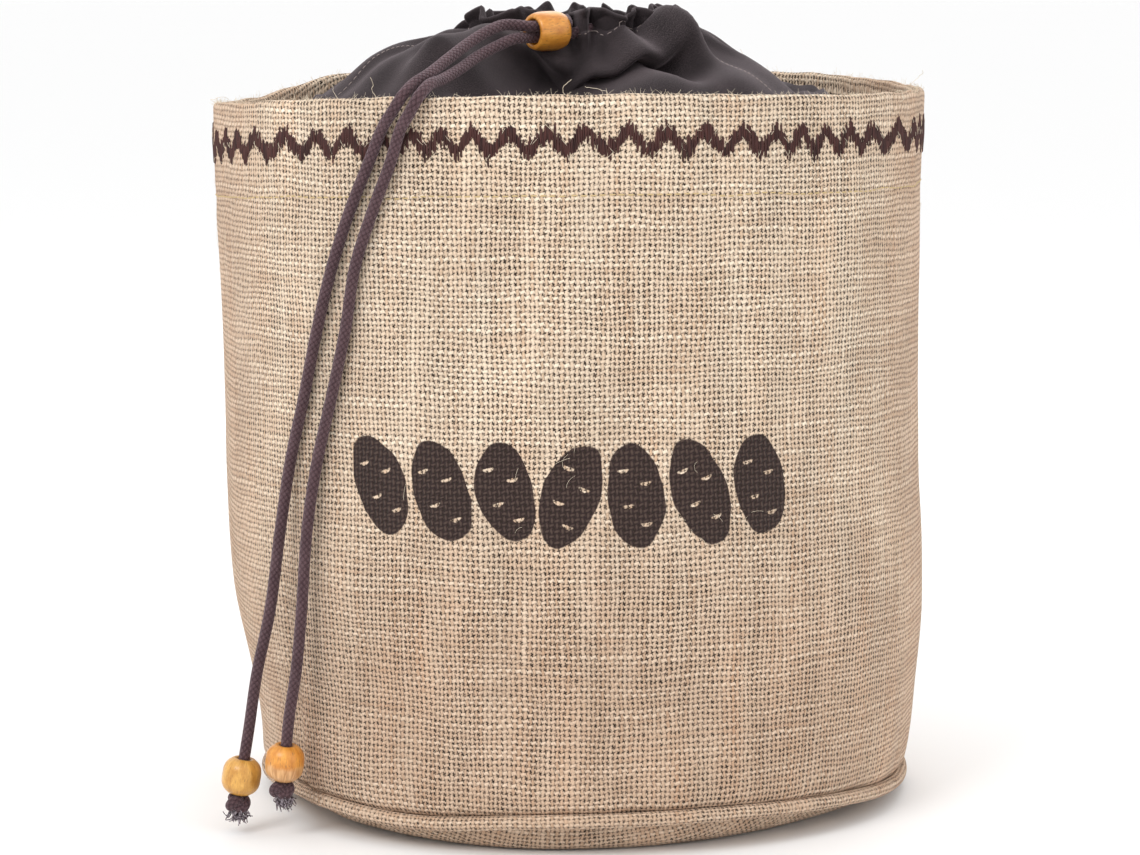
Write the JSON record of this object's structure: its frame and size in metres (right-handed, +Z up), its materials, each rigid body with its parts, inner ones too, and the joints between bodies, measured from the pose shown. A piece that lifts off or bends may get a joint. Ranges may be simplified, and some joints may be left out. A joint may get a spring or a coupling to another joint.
{
  "type": "potato storage bag",
  "caption": "Round jute bag on a flat piped base, with a dark lining gathered shut above the rim by drawcords with a wooden toggle and end beads.",
  "frame": {"origin": "middle of the flat underside of the base, where the bag stands", "axes": "+Z up, -Y to the front with the trim, the toggle and the cords, +X to the right as seen from the front"},
  "size_m": [0.2623, 0.259, 0.2891],
  "materials": {
    "jute": "coarse plain-woven natural jute, matt",
    "lining": "fine matt cotton twill, near black",
    "cord": "braided cotton, matt purple-brown",
    "bead_wood": "waxed honey-coloured wood, satin"
  },
  "bodies": {
    "root": {"jute_side_wall": "jute", "base_welt": "jute", "base_panel": "jute", "lining_collar": "lining", "toggle_bead": "bead_wood", "cord_left": "cord", "end_bead_left": "bead_wood", "knot_left": "cord", "cord_right": "cord", "end_bead_right": "bead_wood", "knot_right": "cord"}
  },
  "joints": []
}
